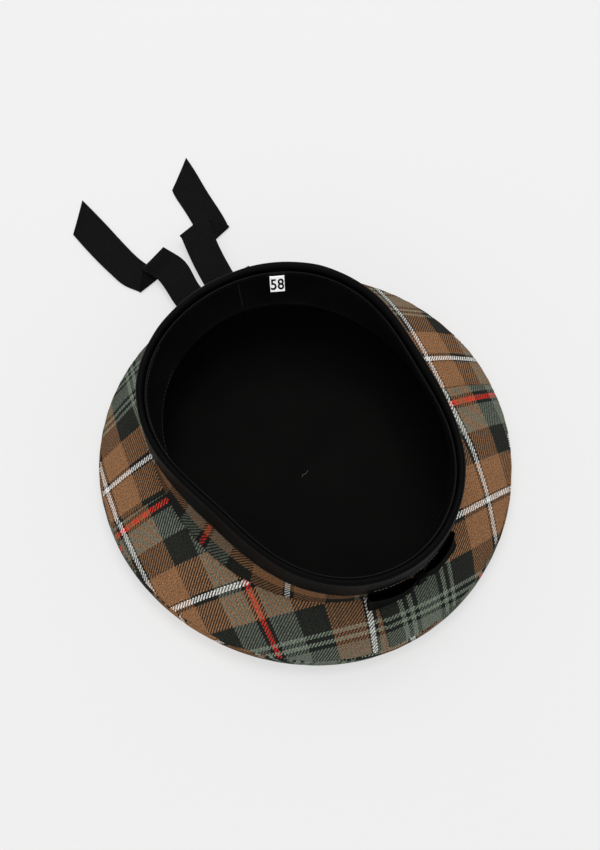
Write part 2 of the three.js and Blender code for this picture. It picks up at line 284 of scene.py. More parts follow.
def face_out(piece):
    """Turns the faces over if the closed mesh's volume comes out negative."""
    mesh = piece.data
    mesh.calc_loop_triangles()
    at = vertices_of(mesh)
    corners = np.empty(len(mesh.loop_triangles) * 3, dtype=np.int32)
    mesh.loop_triangles.foreach_get("vertices", corners)
    a, b, c = (at[corners.reshape(-1, 3)[:, k]] for k in range(3))
    if np.einsum("ij,ij->i", a, np.cross(b, c)).sum() < 0:
        mesh.flip_normals()
        mesh.update()


# ---------------- materials
def linear(red, green, blue):
    """A colour given as 8-bit sRGB."""
    def channel(value):
        value /= 255
        return value / 12.92 if value <= 0.04045 else ((value + 0.055) / 1.055) ** 2.4
    return (channel(red), channel(green), channel(blue), 1)


def grey(level):
    return linear(level, level, level)


class Finish:
    """A node material, with short ways to add nodes. A value is a number or a node's socket."""

    def __init__(self, name, roughness, specular):
        self.material = bpy.data.materials.new(name)
        self.material.use_nodes = True
        self.tree = self.material.node_tree
        self.shader = self.tree.nodes["Principled BSDF"]
        self.shader.inputs["Roughness"].default_value = roughness
        self.shader.inputs["Specular IOR Level"].default_value = specular

    def node(self, kind, inputs=None, **settings):
        made = self.tree.nodes.new("ShaderNode" + kind)
        for key, value in settings.items():
            setattr(made, key, value)
        for key, value in (inputs or {}).items():
            self.put(made.inputs[key], value)
        return made

    def put(self, socket, value):
        if isinstance(value, bpy.types.NodeSocket):
            self.tree.links.new(value, socket)
        else:
            socket.default_value = value

    def math(self, operation, *values):
        return self.node("Math", dict(enumerate(values)), operation=operation).outputs[0]

    def times(self, a, b):
        return self.math("MULTIPLY", a, b)

    def plus(self, a, b):
        return self.math("ADD", a, b)

    def scaled(self, value, by, lift):
        return self.plus(self.times(value, by), lift)

    def darkened(self, colour, tone):
        """A colour times a grey."""
        return self.blend(1.0, colour, self.vector(tone, tone, tone), "MULTIPLY")

    def glow(self, strength):
        self.shader.inputs["Emission Color"].default_value = (1, 1, 1, 1)
        self.shader.inputs["Emission Strength"].default_value = strength

    def blend(self, share, a, b, kind="MIX"):
        made = self.node("Mix", {0: share, 6: a, 7: b}, data_type="RGBA", blend_type=kind)
        return made.outputs[2]

    def choose(self, share, a, b):
        """a where share is 0 and b where it is 1."""
        return self.node("Mix", {0: share, 2: a, 3: b}, data_type="FLOAT").outputs[0]

    def uv(self):
        at = self.node("UVMap", uv_map="cloth").outputs[0]
        parts = self.node("SeparateXYZ", {0: at})
        return parts.outputs[0], parts.outputs[1]

    def place(self):
        return self.node("TexCoord").outputs["Object"]

    def noise(self, vector, scale, detail=2.0, roughness=0.5, kind="3D"):
        made = self.node("TexNoise", {"Vector": vector, "Scale": scale, "Detail": detail,
                                      "Roughness": roughness}, noise_dimensions=kind)
        return made.outputs[0]

    def vector(self, x, y, z=0.0):
        return self.node("CombineXYZ", {0: x, 1: y, 2: z}).outputs[0]

    def grain(self, uv, by_u, by_v, detail=3.0, roughness=0.6):
        """Noise that lies in the cloth, with its fineness along u and along v."""
        at = self.vector(self.times(uv[0], by_u), self.times(uv[1], by_v))
        return self.noise(at, 1.0, detail, roughness, "2D")

    def ramp(self, share, stops):
        """Colours that change at once at their stops."""
        made = self.node("ValToRGB", {0: share})
        ramp = made.color_ramp
        ramp.interpolation = "CONSTANT"
        while len(ramp.elements) < len(stops):
            ramp.elements.new(1.0)
        for element, (at, colour) in zip(ramp.elements, stops):
            element.position = at
            element.color = colour
        return made.outputs[0]

    def colour(self, value):
        self.put(self.shader.inputs["Base Color"], value)

    def rough(self, value):
        self.put(self.shader.inputs["Roughness"], value)

    def bump(self, height, distance, strength=1.0):
        """height runs from 0 to 1, and distance is what 1 stands for, in millimetres."""
        made = self.node("Bump", {"Height": height, "Distance": distance * MM,
                                  "Strength": strength})
        self.put(self.shader.inputs["Normal"], made.outputs[0])


# The sett, in threads from the middle of the red line: where each colour begins. It is mirrored
# there and again in the middle of the striped slate.
RED_LINE = 108              # thread at the red line's middle, counted from a white line's
HALF_SETT = 214             # threads from the red line to the middle of the striped slate
SETT = (
    (0, "red"), (3, "edge"), (6, "slate"), (35, "charcoal"), (66, "brown"), (102, "edge"),
    (105, "white"), (111, "edge"), (114, "brown"), (150, "charcoal"), (181, "pale"),
    (185, "edge"), (190, "pale"), (195, "edge"), (200, "slate"),
)
YARN = {
    "red": linear(210, 56, 42), "edge": linear(30, 34, 34), "slate": linear(106, 113, 101),
    "charcoal": linear(40, 42, 38), "brown": linear(145, 105, 73), "white": linear(234, 231, 226),
    "pale": linear(128, 138, 122),
}


WARP_TONE, WEFT_TONE = 0.81, 0.95   # painted shade: the warp is a little darker than the weft, for the way light falls on threads that run the two ways; it keeps the twill in sight
TONE_SPREAD = 0.24          # how much one thread's tone differs from another's


def tartan_finish(name, tone_of_all, contrast):
    """Woven wool. tone_of_all scales the colour; below 1 it is painted shade, for cloth in shade.
    contrast sets the painted shade in the threads' dips.
    """
    made = Finish(name, roughness=0.92, specular=0.06)
    uv = made.uv()
    threads = [made.math("FLOOR", at) for at in uv]
    across = [made.math("FRACT", at) for at in uv]
    # 2/2 twill: two threads over, two under, one step on in each row
    step = made.math("FLOORED_MODULO", made.math("SUBTRACT", *threads), 4.0)
    warp_up = made.math("LESS_THAN", step, 1.5)
    yarns = []
    # the warp's darker tone, against the weft's, is painted shade
    for i, (thread, least) in enumerate(zip(threads, (WARP_TONE, WEFT_TONE))):
        at = made.plus(thread, 0.5 - RED_LINE)
        share = made.math("DIVIDE", made.math("PINGPONG", at, float(HALF_SETT)), HALF_SETT)
        dyed = made.ramp(share, [(start / HALF_SETT, YARN[yarn]) for start, yarn in SETT])
        shade = made.node("TexWhiteNoise", {"W": made.plus(thread, 311.7 * i)},
                          noise_dimensions="1D").outputs[0]
        yarns.append(made.darkened(dyed, made.scaled(shade, TONE_SPREAD, least)))
    woven = made.blend(warp_up, yarns[1], yarns[0])
    # each thread is round across its width and dips under its neighbour at the ends of a float
    bulge = [made.math("SUBTRACT", 1.0, made.math("POWER", made.math(
        "ABSOLUTE", made.math("SUBTRACT", made.times(at, 2.0), 1.0)), 2.5)) for at in across]
    rib = made.choose(warp_up, bulge[1], bulge[0])
    along = made.choose(warp_up, across[0], across[1])
    place = made.math("DIVIDE", made.plus(made.math("FLOORED_MODULO", step, 2.0), along), 2.0)
    arch = made.math("SINE", made.times(place, math.pi))
    height = made.times(rib, made.scaled(arch, 0.6, 0.4))
    fuzz = made.grain(uv, 2.3, 2.3)
    worn = made.noise(made.place(), 55.0, 2.0)
    mottle = made.grain(uv, 0.55, 0.55, detail=2.0)
    # painted shade: the colour is darker where the threads dip, as far as contrast says, and
    # tone_of_all darkens all of it on the band
    tone = made.scaled(height, 0.42 * contrast, (0.87 - 0.21 * contrast) * tone_of_all)
    for grain, by, lift in ((fuzz, 0.9, 0.55), (worn, 0.14, 0.95), (mottle, 2.2, -0.1)):
        tone = made.times(tone, made.scaled(grain, by, lift))
    made.colour(made.darkened(woven, tone))
    made.bump(made.plus(height, made.times(fuzz, 0.5)), 0.22, 0.8)
    return made.material


def ribbed_finish(name, colour, pitch, relief, roughness, specular, slant=0.0, contrast=0.4):
    """Black ribbon or tape with ribs pitch apart. At a slant of 0 they run across it."""
    made = Finish(name, roughness, specular)
    uv = made.uv()
    turn = math.radians(slant)
    phase = made.plus(made.times(uv[0], TAU / pitch * math.cos(turn)),
                      made.times(uv[1], TAU / pitch * math.sin(turn)))
    rib = made.scaled(made.math("SINE", phase), 0.5, 0.5)
    fine = made.times(made.math("SINE", made.times(uv[1], TAU / (0.45 * pitch))), 0.12)
    fuzz = made.grain(uv, 3.0, 1.2, roughness=0.65)
    # painted shade: the colour is darker between the ribs and lighter on them, as far as contrast
    # says, with a random grain mixed in
    dark, light = (tuple(share * c for c in colour[:3]) + (1,)
                   for share in (1 - contrast, 1 + contrast))
    made.colour(made.blend(made.plus(made.times(rib, 0.6), made.times(fuzz, 0.4)), dark, light))
    worn = made.noise(made.place(), 40.0, 2.0)
    made.rough(made.scaled(worn, 0.2, roughness - 0.1))
    made.bump(made.plus(made.plus(rib, fine), made.times(fuzz, 0.35)), relief, 0.9)
    return made.material


def leather_finish():
    """Smooth black band with a fine pebbled grain."""
    made = Finish("sweatband_leatherette", roughness=0.48, specular=0.1)
    place = made.place()
    cells = made.node("TexVoronoi", {"Vector": place, "Scale": 1400.0}, feature="SMOOTH_F1")
    creases = made.noise(place, 160.0, 4.0, 0.6)
    tone = made.noise(place, 45.0, 3.0)
    made.colour(made.blend(tone, grey(7), grey(15)))
    made.rough(made.scaled(tone, 0.25, 0.36))
    made.bump(made.plus(made.times(cells.outputs[0], 0.7), made.times(creases, 0.8)), 0.12, 0.5)
    return made.material


def satin_finish():
    """Black lining satin: long floats give fine lines one way."""
    made = Finish("lining_satin", roughness=0.6, specular=0.02)
    uv = made.uv()
    lines = made.grain(uv, 0.5, 6.0)
    pick = made.math("SINE", made.times(uv[1], TAU / 0.3))
    soft = made.noise(made.place(), 30.0, 3.0)
    made.colour(made.blend(soft, grey(7), linear(16, 16, 15)))
    made.rough(made.scaled(lines, 0.25, 0.48))
    made.bump(made.plus(lines, made.times(pick, 0.1)), 0.05, 0.5)
    return made.material


def label_finish():
    """White woven tape, with painted shade in its weave and a faint painted glow that keeps it
    white.
    """
    made = Finish("label_weave", roughness=0.85, specular=0.1)
    uv = made.uv()
    cross = [made.math("SINE", made.times(at, TAU / 0.42)) for at in uv]
    weave = made.scaled(made.times(*cross), 0.5, 0.5)
    soil = made.noise(made.vector(*uv), 0.7, 3.0, 0.6, "2D")
    # painted shade: the weave darkens the colour a little where the threads dip; soil is a random
    # tone
    tone = made.plus(made.times(weave, 0.35), made.times(soil, 0.5))
    made.colour(made.blend(tone, linear(246, 246, 244), linear(255, 255, 254)))
    made.bump(weave, 0.05, 0.6)
    # painted light: the label glows a little, so it stays white in the shade of the hollow
    made.glow(0.3)
    return made.material


def thread_finish(name, dark, light, roughness=0.45):
    """Twisted sewing thread."""
    made = Finish(name, roughness, specular=0.15)
    twist = made.node("TexWave", {"Vector": made.place(), "Scale": 900.0, "Distortion": 1.5},
                      wave_type="BANDS", bands_direction="DIAGONAL").outputs[1]
    # painted shade: the colour is darker in the grooves of the twist
    made.colour(made.blend(twist, dark, light))
    made.bump(twist, 0.05, 0.5)
    return made.material


def floor_finish():
    made = Finish("studio_floor", roughness=0.9, specular=0.0)
    tone = made.noise(made.place(), 3.0, 2.0)
    made.colour(made.blend(tone, grey(149), grey(151)))
    made.glow(0.555)
    return made.material


TARTAN = tartan_finish("tartan_wool", 1.06, 1.35)
# painted shade: the band's tartan is a darker copy, for the shade under the binding's overhang
BAND_TARTAN = tartan_finish("tartan_wool_in_shade", 0.56, 0.7)
TAPE = ribbed_finish("binding_tape", grey(5), 0.9, 0.08, 0.38, 0.035)
RIBBON = ribbed_finish("petersham_ribbon", grey(7), 1.35, 0.3, 0.4, 0.07, slant=72, contrast=0.9)
BOW_RIBBON = ribbed_finish("bow_ribbon", grey(6), 1.1, 0.16, 0.5, 0.02)
LEATHER = leather_finish()
SATIN = satin_finish()
LABEL = label_finish()
DARK_THREAD = thread_finish("black_thread", grey(9), grey(26))
GREY_THREAD = thread_finish("grey_thread", grey(30), linear(84, 84, 82))
PALE_THREAD = thread_finish("pale_thread", linear(70, 64, 58), linear(146, 134, 124))
INK = thread_finish("label_black", grey(14), grey(26), 0.7)

# ---------------- crown: top and four sides
closed_turn = np.linspace(0, TAU, ROUND + 1)
full_turn = closed_turn[:-1]
SEAM_CUT = 0.86             # how far a cut edge's middle stays back from its seam
POLE = 1.0                  # radius of the first row of a round piece
THREAD = 0.53               # from one thread to the next
EDGE_RADIUS = 130.3         # mean radii, for ways round the crown's edge, the sides and the band
SIDE_RADIUS = 115
BAND_RADIUS = 95


def closing(values):
    """Values round a full turn, with the first one added again at the end."""
    return np.concatenate([values, values[:1]])


def laid_flat(run):
    """Where the points of a round piece lie, from their way along it from the middle."""
    bearing, radius = closed_turn[:, None], closing(run + POLE)
    return radius * np.cos(bearing), radius * np.sin(bearing)


def crown_top_line(bearing):
    edge = crown_edge(bearing) - CLOTH / 2
    floor = CLOTH / 2
    flat = np.stack([pair(edge * 0 + POLE, floor), pair(edge - EDGE_ROUNDING, floor)], 1)
    flat = respaced(flat, np.linspace(0, 1, 16))
    curl = bezier([pair(edge - EDGE_ROUNDING, floor), pair(edge - 0.35 * EDGE_ROUNDING, floor),
                   pair(edge, 0.12 * EDGE_ROUNDING + floor), pair(edge, 0.62 * SEAM_Z)], 22)
    up = bezier([pair(edge, 0.62 * SEAM_Z), pair(edge, 0.85 * SEAM_Z), pair(edge - 1, SEAM_Z)], 10)
    line = np.concatenate([flat[:, :-1], curl[:, :-1], up], 1)
    run = arcs(line)[:, -1].mean()
    return respaced(line, two_spacings(0, 0.8, 1 - SEAM_CUT / run, 30, 26))


def side_curve(bearing, rows):
    """The side's cloth from the round seam to the crease."""
    start = pair(crown_edge(bearing) - CLOTH / 2 - 1, SEAM_Z)
    end = pair(crease(bearing), CREASE_Z)
    along = unit(end - start)
    belly = (start + end) / 2 + 2 * SIDE_BULGE * np.stack([along[:, 1], -along[:, 0]], -1)
    return bezier([start, belly, end], rows)


def flat_cut(bearing, up_side, middle):
    """Where a point of a side lies in its piece before it was sewn: across and outwards."""
    ease = 1.04
    radius = EDGE_RADIUS / ease + crown_edge(bearing) - EDGE_RADIUS - up_side
    turn = ease * (bearing - math.radians(middle))
    return radius * np.sin(turn), radius * np.cos(turn)


def thread_numbers(x, y, thread, turn, u, v, bow_u=0, bow_v=0):
    """Which threads cross at a point of the flat cloth."""
    c, s = math.cos(math.radians(turn)), math.sin(math.radians(turn))
    bowed = x * x / 100
    return ((x * c + y * s) / thread + u + bow_u * bowed,
            (x * s - y * c) / thread + v + bow_v * bowed)


def make_crown_top():
    line = crown_top_line(full_turn)
    run = arcs(line)
    soft = wobble(3, (60, 0.25), (22, 0.12))
    side_way = full_turn[:, None] * 130         # about the way along the round seam
    relief = soft(side_way, run) * np.clip((run - 100) / 20, 0, 1)
    to_seam = run[:, -1:] - run
    pucker = 0.10 * np.sin(side_way / 1.9 + 2 * soft(side_way, 0 * run)) * np.exp(-to_seam / 3)
    faces = two_faces(full_turn, line, CLOTH / 2 + np.minimum(relief, 0) + pucker, -CLOTH / 2)
    uv = thread_numbers(*laid_flat(run), THREAD, -18, -30, 80)
    return cloth_wall("crown_top_cloth", faces, uv, TARTAN, pole=True)


HALF_QUARTER = 45
# The middle of each quarter, and how its cloth lies: from one thread to the next, the turn of the
# warp, the threads at the flat piece's middle, counted from a crossing of white lines, and how far
# the lines bow.
QUARTERS = {
    "side_front_left": (207, 0.538, -43.1, 209.8, 113.8, 0.108, 0.094),
    "side_front_right": (297, 0.531, 43.1, -149.2, 129.9, 0.069, -0.097),
    "side_back_left": (117, 0.514, -139.7, 438.7, 166.3, 0.094, -0.136),
    "side_back_right": (27, 0.497, 136.6, -164.2, 173.8, 0.168, 0.061),
}


def make_side(name, seed):
    middle, *lay = QUARTERS[name]
    first, last = math.radians(middle - HALF_QUARTER), math.radians(middle + HALF_QUARTER)
    # columns, closer together at the seams where the edge is rounded
    edge = np.array([0, 0.06, 0.2, 0.45, 0.9, 1.6, 2.6]) / SIDE_RADIUS
    inside = np.linspace(edge[-1] + 0.012, last - first - edge[-1] - 0.012, 84)
    bearing = first + np.concatenate([edge, inside, (last - first) - edge[::-1]])
    fine = side_curve(bearing, 60)
    total = arcs(fine)[:, -1].mean()
    ends = np.array([0, 0.35, 1.0, 1.9, 3.0]) / total
    cut = SEAM_CUT / total
    places = np.concatenate([cut + ends, np.linspace(0.12, 0.88, 30), 1 - cut - ends[::-1]])
    line = respaced(fine, places)
    run = places[None, :] * arcs(fine)[:, -1:]
    from_seam = np.minimum(bearing - first, last - bearing)[:, None] * line[..., 0]
    from_ends = np.minimum(run, run[:, -1:] + cut * total - run)
    along = bearing[:, None] * SIDE_RADIUS
    soft = wobble(seed, (70, 0.7), (30, 0.28), (13, 0.08))
    relief = soft(along, run) * (1 - np.exp(-from_ends / 7))
    # allowances lie under the cloth beside a seam, and the stitches draw it in
    relief += 0.35 * ridge(from_seam, 4, 3) * (1 - np.exp(-from_seam / 1.2))
    relief += 0.25 * ridge(from_ends, 4, 3)
    ripple = wobble(seed + 50, (9, 1.0), (5, 0.5))
    relief += 0.16 * ripple(along, 0 * run) * np.exp(-from_ends / 3.5)
    relief += 0.12 * ripple(run, 0 * run) * np.exp(-from_seam / 3.0)
    relief -= 0.25 * np.exp(-from_seam / 0.8)
    seam_round = np.clip(from_seam / (CLOTH / 2), 0, 1)
    half = CLOTH / 2 * np.sqrt(np.maximum(1 - (1 - seam_round) ** 2, 0.0)) + 0.02
    faces = two_faces(bearing, line, half + relief, np.minimum(relief, 0) - half)
    uv = thread_numbers(*flat_cut(bearing[:, None], run, middle), *lay)
    return cloth_wall(name + "_cloth", faces, uv, TARTAN)


# ---------------- head band, binding, sweatband
def make_band():
    heights = two_spacings(CREASE_Z + 0.75, CREASE_Z + 6, RIM_Z - 2.3, 10, 18)
    line = np.stack([pair(band_radius(full_turn, h), h) for h in heights], 1)
    run = arcs(line)
    along = full_turn[:, None] * BAND_RADIUS
    soft = wobble(21, (50, 0.35), (18, 0.12))
    ripple = wobble(22, (8, 1.0), (4.5, 0.4))
    low = np.exp(-run / 4)
    in_sight = np.clip(1 - (heights - 54) / 8, 0, 1)        # the rest is under the binding
    relief = soft(along, run) * (1 - low) * in_sight
    relief += 0.14 * ripple(along, 0 * run) * low
    faces = two_faces(full_turn, line, CLOTH / 2 + relief, np.minimum(relief, 0) - CLOTH / 2)
    # a straight strip: threads are counted from the red line at the left front, and up from a
    # white line
    turn = np.linspace(0, TAU, 2001)
    radius = mix(rim(turn), crease(turn), 0.5)
    steps = np.hypot(np.diff(radius), radius[:-1] * np.diff(turn))
    length = summed(steps)
    red_at, white_z = math.radians(186.5), 70.0
    around = (np.interp(closed_turn, turn, length) - np.interp(red_at, turn, length)) / THREAD
    uv = (around + RED_LINE)[:, None], ((heights - white_z) / THREAD)[None]
    return cloth_wall("band_cloth", faces, uv, BAND_TARTAN)


FOLD_RADIUS = CLOTH / 2 + GAP + BINDING / 2
FOLD_Z = RIM_Z - FOLD_RADIUS - BINDING / 2


def binding_line(bearing):
    """The tape's middle: up the outside of the band, over its edge and a little down inside."""
    parts = []
    for h in np.linspace(RIM_Z - BINDING_WIDTH + 0.45, FOLD_Z, 26):
        parts.append(pair(band_radius(bearing, h) + FOLD_RADIUS, h))
    for angle in np.linspace(0, math.pi, 13)[1:]:
        parts.append(pair(rim(bearing) + FOLD_RADIUS * math.cos(angle),
                          FOLD_Z + FOLD_RADIUS * math.sin(angle)))
    for h in np.linspace(FOLD_Z, RIM_Z - BINDING_TURN_IN + 0.45, 7)[1:]:
        parts.append(pair(band_radius(bearing, h) - FOLD_RADIUS, h))
    return np.stack(parts, 1)


def length_round(radius_at):
    """Length along a ring from bearing 0, as a function of the bearing."""
    turn = np.linspace(0, TAU, 2001)
    radius = radius_at(turn)
    steps = np.hypot(np.diff(radius), (radius[1:] + radius[:-1]) / 2 * np.diff(turn))
    length = summed(steps)
    return lambda bearing: np.interp(bearing, turn, length)


rim_length = length_round(rim)


def strip_uv(run):
    """Millimetres along and across a strip that goes all the way round."""
    return rim_length(closed_turn)[:, None], closing(run)


def make_binding():
    line = binding_line(full_turn)
    run = arcs(line)
    along = rim_length(full_turn)[:, None]
    soft = wobble(31, (45, 0.22), (16, 0.1))
    pull = wobble(32, (7, 1.0), (4, 0.5))
    edge = np.exp(-run / 1.2) + np.exp(-(run[:, -1:] - run) / 1.0)
    stitched = ridge(run, 1.7, 0.55)
    relief = soft(along, run) + 0.10 * pull(along, 0 * run) * np.exp(-run / 5)
    relief = np.clip(relief, -0.1, 0.3) + 0.08 * edge - 0.16 * stitched
    # the fold stands fuller at the back right
    from_right = (full_turn[:, None] - math.radians(25) + math.pi) % TAU - math.pi
    relief += 0.9 * ridge(run, 21.5, 3.0) * ridge(from_right, 0, 0.75)
    faces = two_faces(full_turn, line, BINDING / 2 + relief, -BINDING / 2)
    return cloth_wall("rim_binding_tape", faces, strip_uv(run), TAPE)


SWEATBAND_INSET = CLOTH / 2 + BINDING + 2 * GAP + SWEATBAND / 2


def sweatband_line(bearing, heights):
    down = (SWEATBAND_TOP - heights) / (SWEATBAND_TOP - SWEATBAND_FOOT)
    top = (rim(bearing) - SWEATBAND_INSET)[:, None]
    foot = sweatband_edge(bearing)[:, None]
    radius = mix(top, foot, (down ** 2)[None])
    return np.stack([radius, np.repeat(heights[None], len(bearing), 0)], -1)


def make_sweatband():
    heights = np.linspace(SWEATBAND_FOOT + 0.5, SWEATBAND_TOP - 0.5, 30)
    line = sweatband_line(full_turn, heights)
    run = arcs(line)
    soft = wobble(41, (80, 0.9), (34, 0.35))
    hem = ridge(run, 1.2, 0.8)
    top_stitch = ridge(run[:, -1:] - run, 1.8, 0.5)
    loose = np.clip(1 - run / 24, 0, 1) ** 1.5
    shift = np.minimum(soft(rim_length(full_turn)[:, None], run), 0.2) * loose
    faces = two_faces(full_turn, line, SWEATBAND / 2 + shift,
                      shift - SWEATBAND / 2 - 0.18 * hem + 0.2 * top_stitch)
    return cloth_wall("sweatband_skin", faces, strip_uv(run), LEATHER)


# ---------------- lining
def lining_line(bearing):
    inset = (CLOTH + LINING) / 2 + GAP
    edge = crown_edge(bearing) - CLOTH / 2
    floor = CLOTH + GAP + LINING / 2
    flat = np.stack([pair(edge * 0 + POLE, floor), pair(edge - EDGE_ROUNDING, floor)], 1)
    corner = bezier([pair(edge - EDGE_ROUNDING, floor), pair(edge - 5, floor + 1),
                     pair(edge - 5, SEAM_Z + 1)], 14)
    side = side_curve(bearing, 11)
    behind = (side - off(side) * (inset + GAP))[:, [2, 4, 6, 8]]
    crease_point = pair(crease(bearing) - 2.6, CREASE_Z - 2)[:, None]
    up = np.stack([pair(band_radius(bearing, h) - 1.35 * inset, h)
                   for h in (CREASE_Z + 1, LINING_TOP - 0.4)], 1)
    line = np.concatenate([flat, corner[:, 1:], behind, crease_point, up], 1)
    return smoothed(respaced(line, two_spacings(0, 0.56, 1, 40, 44)), 3)


def smoothed(line, times):
    """Takes the corners off lines; their ends stay."""
    for _ in range(times):
        line = np.concatenate([line[:, :1], (line[:, :-2] + 2 * line[:, 1:-1] + line[:, 2:]) / 4,
                               line[:, -1:]], 1)
    return line


lining_waves = wobble(51, (75, 0.8), (38, 0.5), (17, 0.18))


def lining_puff(x, y):
    """How far the lining stands up off its solid in the middle of the crown."""
    run = np.hypot(x, y)
    return (1.2 + lining_waves(x, y)) * (1 - np.exp(-run / 9)) * np.clip(1 - run / 110, 0, 1)


def make_lining():
    line = lining_line(full_turn)
    run = arcs(line)
    x = run * np.cos(full_turn[:, None])
    y = run * np.sin(full_turn[:, None])
    gathers = wobble(52, (10, 0.9), (6, 0.4))
    # gathered round the corner, on a ring of about 120
    gathered = 0.7 + 0.7 * gathers(full_turn[:, None] * 120, 0 * run)
    puff = lining_puff(x, y) + ridge(run, 116, 10) * gathered
    puff = np.maximum(puff, 0) * np.clip((run[:, -1:] - run) / 12, 0, 1)
    # the lining stands in towards the hollow, away from the cloth behind it
    faces = two_faces(full_turn, line, LINING / 2 - puff, -(LINING / 2 + puff))
    return cloth_wall("lining_satin", faces, laid_flat(run), SATIN, pole=True)


# ---------------- ribbons
def through(rows, shares_each):
    """A smooth curve through rows of numbers, with its points evenly shared between them."""
    rows = np.asarray(rows, float)
    padded = np.vstack([2 * rows[0] - rows[1], rows, 2 * rows[-1] - rows[-2]])
    out = []
    for i in range(len(rows) - 1):
        a, b, c, d = padded[i:i + 4]
        for k in range(shares_each):
            t = k / shares_each
            out.append(0.5 * (2 * b + (c - a) * t + (2 * a - 5 * b + 4 * c - d) * t * t
                              + (3 * b - a - 3 * c + d) * t ** 3))
    out.append(rows[-1])
    return np.array(out)


RIBBON_THICKNESS = 0.8
FOLD = 0.85                 # radius of a folded ribbon's middle
ACROSS = 13                 # points across a ribbon
FLOOR_CLEARANCE = 0.12


def ribbon_faces(middle, normal):
    return [middle + side * normal * RIBBON_THICKNESS / 2 for side in (1, -1)]


# Rows of x, y, z, the direction of the ribbon's width in degrees and its length. A fold has a sixth
# entry.
TAILS = {
    "tail_right": (
        (28.6, 102.6, 73, -12, 19.3), (29.0, 104.4, 62, -12, 19.3), (30.4, 110.5, 48, -12, 19.7),
        (33.0, 119.2, 33, -11, 20.4), (35.4, 127.6, 19.5, -11, 20.8), (37.0, 133.2, 10.5, -10, 21),
        (39.6, 142.5, 5.6, -9, 21), (44.0, 160.0, 5.2, -4, 21.4),
        (50.2, 180.4, 8.0, 4, 23, "under"), (59.3, 167.4, 1.5, 7, 23, "under"),
        (63.2, 182.0, 0.7, -8, 21), (67.0, 203.0, 0.7, 6, 21.6), (71.1, 224.7, 0.7, 32, 28)),
    "tail_left": (
        (8.4, 106.6, 73, -5, 19.3), (8.6, 107.4, 62, -5, 19.3), (9.6, 112.5, 48, -5, 19.7),
        (11.2, 120.4, 33, -3, 20.4), (12.6, 128.6, 19.5, -1, 20.8), (13.6, 134.6, 10.5, 1, 21),
        (15.0, 144.0, 5.6, 4, 21), (18.2, 164.0, 5.0, 0, 22),
        (13.2, 177.4, 8.0, 11, 22, "under"), (3.8, 168.0, 1.5, 3, 22, "under"),
        (-1.5, 179.0, 0.7, 2, 21.6), (-3.9, 196.0, 1.4, 14, 21.6), (-5.0, 242.0, 0.7, 41, 27.6)),
}


def tail_stations(rows):
    """The rows of a tail as closely spaced stations, with a half turn at each fold."""
    parts, stretch = [], []
    for i, entry in enumerate(rows):
        row = np.array(entry[:5], float)
        if len(entry) == 5:
            stretch.append(row)
            continue
        edge = math.radians(row[3])
        ahead = np.array([-math.sin(edge), math.cos(edge)])
        ahead *= np.sign(ahead @ (row[:2] - rows[i - 1][:2]))
        turn = np.repeat(row[None], 11, 0)
        angle = np.linspace(0, math.pi, 11)
        turn[:, :2] += FOLD * np.sin(angle)[:, None] * ahead
        turn[:, 2] += FOLD * np.cos(angle)
        parts += [through([*stretch, turn[0]], 9), turn[1:-1]]
        stretch = [turn[-1]]
    return np.concatenate([*parts, through(stretch, 9)])


def make_tail(name, seed):
    stations = tail_stations(TAILS[name])
    centre = stations[:, :3]
    angle = np.radians(stations[:, 3])
    edge = np.stack([np.cos(angle), np.sin(angle), 0 * angle], -1)
    along = np.gradient(centre, axis=0)
    run = run_along(centre)
    normal = unit(np.cross(edge, along))
    share = np.linspace(-0.5, 0.5, ACROSS)
    # the ribbon curls a little, but not at its folds
    bend = np.linalg.norm(np.gradient(unit(along), axis=0), axis=-1)
    calm = np.clip(1 - 4 * bend, 0, 1)
    calm = np.convolve(np.pad(calm, 6, mode="edge"), np.ones(13) / 13, "valid")
    soft = wobble(seed, (40, 0.35), (16, 0.12))
    width = stations[:, 4][:, None] * share[None]
    curl = 0.35 * (2 * share[None]) ** 2 + np.maximum(soft(run[:, None], width), 0)
    up = np.sign(normal[:, 2:3] + 1e-6)
    flat = centre[:, None] + edge[:, None] * width[..., None]
    flat = flat + (normal * up)[:, None] * (calm[:, None] * curl)[..., None]
    faces = ribbon_faces(flat, normal[:, None])
    for face in faces:
        face[..., 2] = np.maximum(face[..., 2], FLOOR_CLEARANCE)
    return cloth_wall(name + "_ribbon", faces, (run[:, None], width), RIBBON), run[-1]


# the bow's bearings, heights and ribbon
BOW = dict(start=248.6, middle=266.5, end=283.2, top=56.6, foot=40.3, width=17)
# bearing, how far the inner ribbon stands off the band, depth of the loop at its top edge, pinch
BOW_ROWS = np.array((
    (249.4, 2.1, 5.0, 0), (256.0, 2.0, 6.0, 0), (261.5, 2.2, 5.2, 0.6), (264.5, 3.6, 1.9, 4.0),
    (268.5, 3.6, 1.9, 4.0), (272.0, 2.2, 4.8, 0.6), (278.5, 2.0, 4.6, 0), (282.3, 2.1, 3.0, 0.4)))
BOW_CURVE = through(BOW_ROWS, 8)


def bow_point(bearing, outward, down):
    """The bow's ribbon: outward is 0 on the inner ribbon and 1 on the outer one, and down runs from
    0 at the top edge to 1 at the foot."""
    at = np.clip(bearing, BOW_ROWS[0, 0], BOW_ROWS[-1, 0])
    offset, depth, pinch = (np.interp(at, BOW_CURVE[:, 0], BOW_CURVE[:, k]) for k in (1, 2, 3))
    foot_spread, foot_depth, side_fall = 2.2, 1.1, 0.58
    flared = 2.9 * (1 - pinch / 4)      # how far both ribbons' feet stand out over the sides
    turn = np.radians(bearing)
    foot = BOW["foot"] + pinch - side_fall * (outward * foot_depth + flared)
    height = mix(BOW["top"] - pinch, foot, down)
    top = band_radius(turn, np.maximum(height, CREASE_Z)) + offset
    bottom = crease(turn) + offset + foot_spread + flared
    radius = mix(top, bottom, down ** 2) + outward * mix(depth, foot_depth, down)
    return np.stack([radius * np.cos(turn), radius * np.sin(turn), height], -1)


